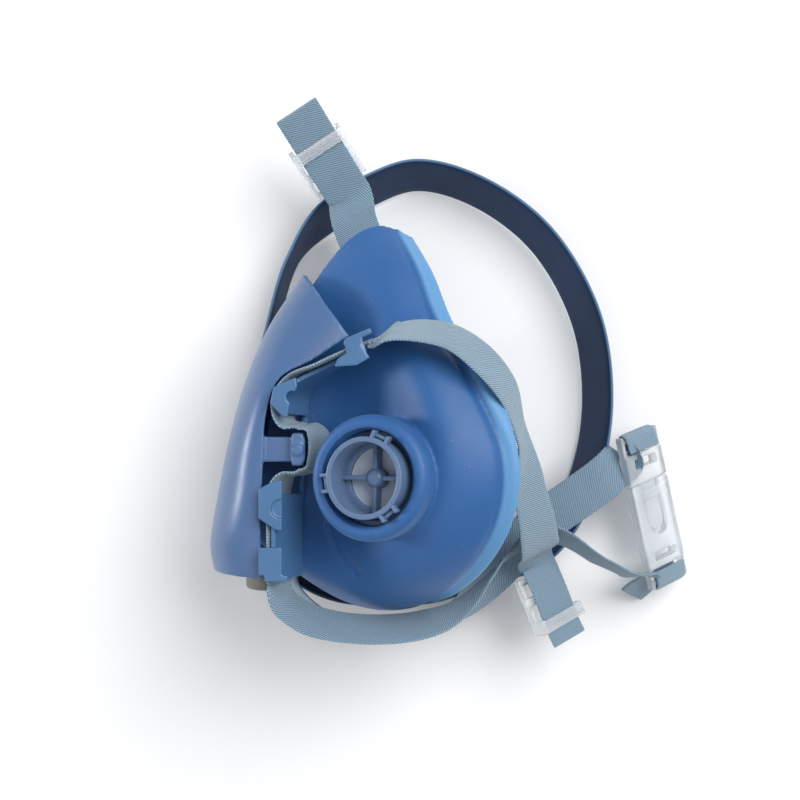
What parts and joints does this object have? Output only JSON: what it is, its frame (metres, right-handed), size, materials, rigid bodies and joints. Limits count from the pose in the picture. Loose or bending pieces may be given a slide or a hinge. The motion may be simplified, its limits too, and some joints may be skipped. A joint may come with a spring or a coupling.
{
  "type": "half-mask respirator",
  "caption": "Reusable elastomeric half-mask respirator with two bayonet filter ports, a front cover, webbing straps, a head cradle and a neck buckle.",
  "frame": {"origin": "middle of the footprint, at the lowest point, with the mask lying on its wearer's right side", "axes": "+X towards the back of the wearer's head, +Y up the wearer's face, +Z towards the wearer's left"},
  "size_m": [0.2006, 0.2258, 0.1217],
  "materials": {
    "silicone": "matte",
    "cover_plastic": "satin",
    "rail_plastic": "satin",
    "port_plastic": "satin",
    "valve_rubber": "matte",
    "gasket_rubber": "matte",
    "webbing": "woven",
    "cradle_band": "satin",
    "clear_plastic": "translucent"
  },
  "bodies": {
    "mask": {"buckle_socket": "clear_plastic", "centre_adapter": "rail_plastic", "exhalation_valve_seat": "port_plastic", "facepiece": "silicone", "front_cover": "cover_plastic", "harness_rail_left": "rail_plastic", "harness_rail_right": "rail_plastic", "head_cradle": "cradle_band", "inhalation_port_left": "port_plastic", "inhalation_port_right": "port_plastic", "port_gasket_left": "gasket_rubber", "port_gasket_right": "gasket_rubber", "webbing_lower_run_left": "webbing", "webbing_lower_run_right": "webbing", "webbing_neck_fold_left": "webbing", "webbing_rail_run_left": "webbing", "webbing_rail_run_right": "webbing", "webbing_upper_run_left": "webbing", "webbing_upper_run_right": "webbing"},
    "inhalation_flap_left": {"inhalation_flap_left": "valve_rubber"},
    "inhalation_flap_right": {"inhalation_flap_right": "valve_rubber"},
    "exhalation_flap": {"exhalation_flap": "valve_rubber"},
    "adjuster_upper": {"adjuster_upper": "clear_plastic", "webbing_tail_right": "webbing"},
    "adjuster_lower": {"adjuster_lower": "clear_plastic", "webbing_tail_left": "webbing"},
    "buckle_hook": {"buckle_hook": "clear_plastic", "webbing_neck_fold_right": "webbing"}
  },
  "joints": [
    {"name": "inhalation_flap_left_slide", "type": "slide", "parent": "mask", "child": "inhalation_flap_left", "axis": [0.4001, -0.05, -0.9151], "range_m": [0, 0.0025], "stiffness_N_per_m": 60, "springref_m": -0.0005},
    {"name": "inhalation_flap_right_slide", "type": "slide", "parent": "mask", "child": "inhalation_flap_right", "axis": [0.4001, -0.05, 0.9151], "range_m": [0, 0.0025], "stiffness_N_per_m": 60, "springref_m": -0.0005},
    {"name": "exhalation_flap_slide", "type": "slide", "parent": "mask", "child": "exhalation_flap", "axis": [-0.9806, 0.1961, 0], "range_m": [0, 0.0015], "stiffness_N_per_m": 60, "springref_m": -0.0005},
    {"name": "adjuster_upper_tilt", "type": "hinge", "parent": "mask", "child": "adjuster_upper", "pos_m": [-0.04995, 0.08119, 0.03356], "axis": [0.8351, 0.5501, 0], "range_deg": [0, 30]},
    {"name": "adjuster_lower_tilt", "type": "hinge", "parent": "mask", "child": "adjuster_lower", "pos_m": [0.03225, -0.08351, 0.03506], "axis": [-0.73, -0.296, 0.616], "range_deg": [0, 30]},
    {"name": "buckle_hook_slide", "type": "slide", "parent": "mask", "child": "buckle_hook", "axis": [-0.2317, 0.9621, 0.1438], "range_m": [0, 0.015]}
  ]
}
